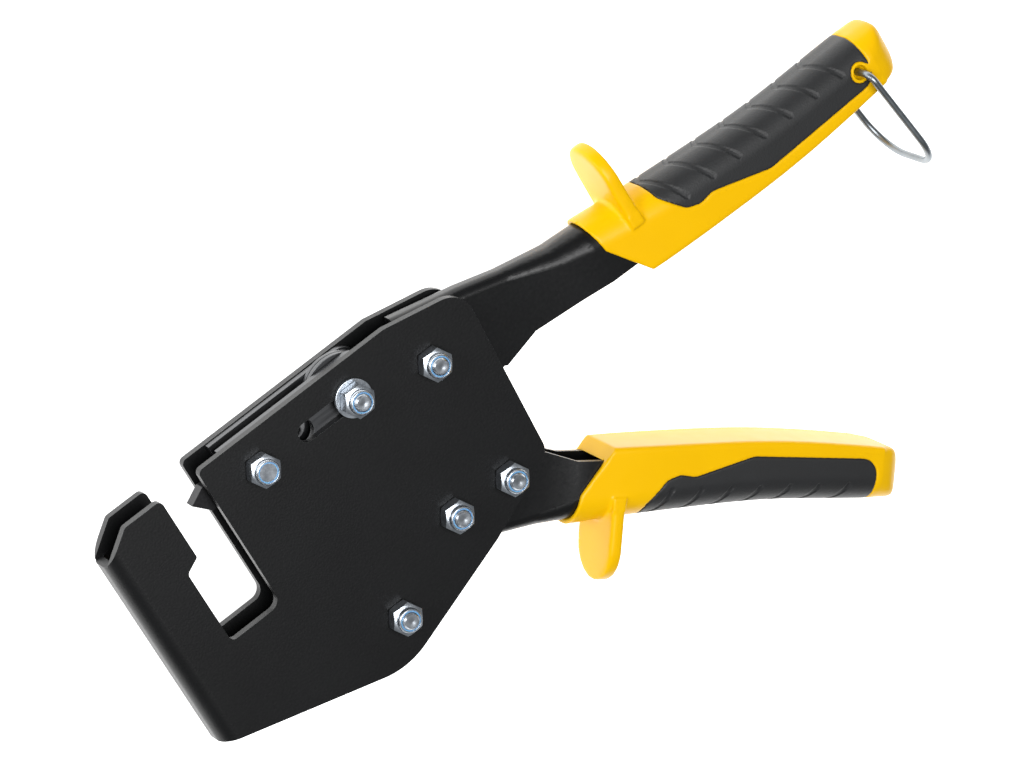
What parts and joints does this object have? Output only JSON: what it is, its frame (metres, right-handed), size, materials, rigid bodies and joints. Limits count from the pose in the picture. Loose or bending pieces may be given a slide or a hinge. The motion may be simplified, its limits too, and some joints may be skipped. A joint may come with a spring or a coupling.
{
  "type": "section setting pliers",
  "caption": "Plier that joins sheet-metal sections: a lever drives a punch through a knee and slide across the throat of a folded head, with moulded grips and a wire lock bail.",
  "frame": {"origin": "under the middle of the bounding box of the open tool lying flat on its side, at the height of the bail's lower leg", "axes": "+X back along the slide from the jaw to the handles, +Y towards the lever and the throat's mouth, +Z along the bolts towards the nuts"},
  "size_m": [0.314, 0.1708, 0.0384],
  "materials": {
    "head_black": "satin black powder coat",
    "arm_black": "smooth satin black paint",
    "bar_steel": "oiled dark steel",
    "punch_steel": "blackened hardened steel",
    "link_steel": "oiled steel",
    "zinc_bolt": "bright zinc plate",
    "zinc_nut": "bright zinc plate, slightly blue",
    "zinc_washer": "bright zinc plate",
    "tube_steel": "turned steel",
    "pin_steel": "ground steel",
    "nylon_blue": "blue nylon",
    "grip_yellow": "yellow moulded plastic",
    "grip_pad": "dark grey soft moulding",
    "spring_steel": "spring wire",
    "bail_zinc": "dull zinc-plated wire"
  },
  "bodies": {
    "head": {"head_frame": "head_black", "head_bolts": "zinc_bolt", "head_nuts": "zinc_nut", "head_nut_inserts": "nylon_blue", "guide_bolt": "zinc_bolt", "guide_nut": "zinc_nut", "guide_nut_insert": "nylon_blue", "guide_sleeve": "tube_steel", "chin_spacer": "tube_steel", "pivot_bolt": "zinc_bolt", "pivot_nut": "zinc_nut", "pivot_nut_insert": "nylon_blue", "pivot_bush": "tube_steel", "fixed_arm": "arm_black", "arm_spacers": "tube_steel", "fixed_grip_shell": "grip_yellow", "fixed_grip_pad": "grip_pad", "return_spring": "spring_steel"},
    "lever": {"lever_arm": "arm_black", "knee_pin": "pin_steel", "lever_grip_shell": "grip_yellow", "lever_grip_pad": "grip_pad"},
    "slide": {"slide_bars": "bar_steel", "punch": "punch_steel", "punch_rivets": "pin_steel", "slide_washers": "zinc_washer", "slide_bolt": "zinc_bolt", "slide_nut": "zinc_nut", "slide_nut_insert": "nylon_blue"},
    "link": {"knee_links": "link_steel"},
    "bail": {"bail": "bail_zinc"}
  },
  "joints": [
    {"name": "lever_pivot", "type": "hinge", "parent": "head", "child": "lever", "pos_m": [-0.033, 0.06039, 0.0192], "axis": [0, 0, -1], "range_deg": [0, 34], "stiffness_Nm_per_rad": 1.5, "springref_deg": -28.65},
    {"name": "punch_slide", "type": "slide", "parent": "head", "child": "slide", "axis": [-1, 0, 0], "range_m": [0, 0.0181]},
    {"name": "link_hinge", "type": "hinge", "parent": "slide", "child": "link", "pos_m": [-0.0613, 0.06769, 0.0192], "axis": [0, 0, 1], "range_deg": [0, 19.3]},
    {"name": "bail_swing", "type": "hinge", "parent": "lever", "child": "bail", "pos_m": [0.1413, 0.05019, 0.0192], "axis": [0, 0, 1], "range_deg": [-2, 234]}
  ],
  "couplings": [
    {"joint": "punch_slide", "follows": "lever_pivot", "m_per_rad": 0.0303},
    {"joint": "link_hinge", "follows": "lever_pivot", "ratio": 0.563}
  ]
}
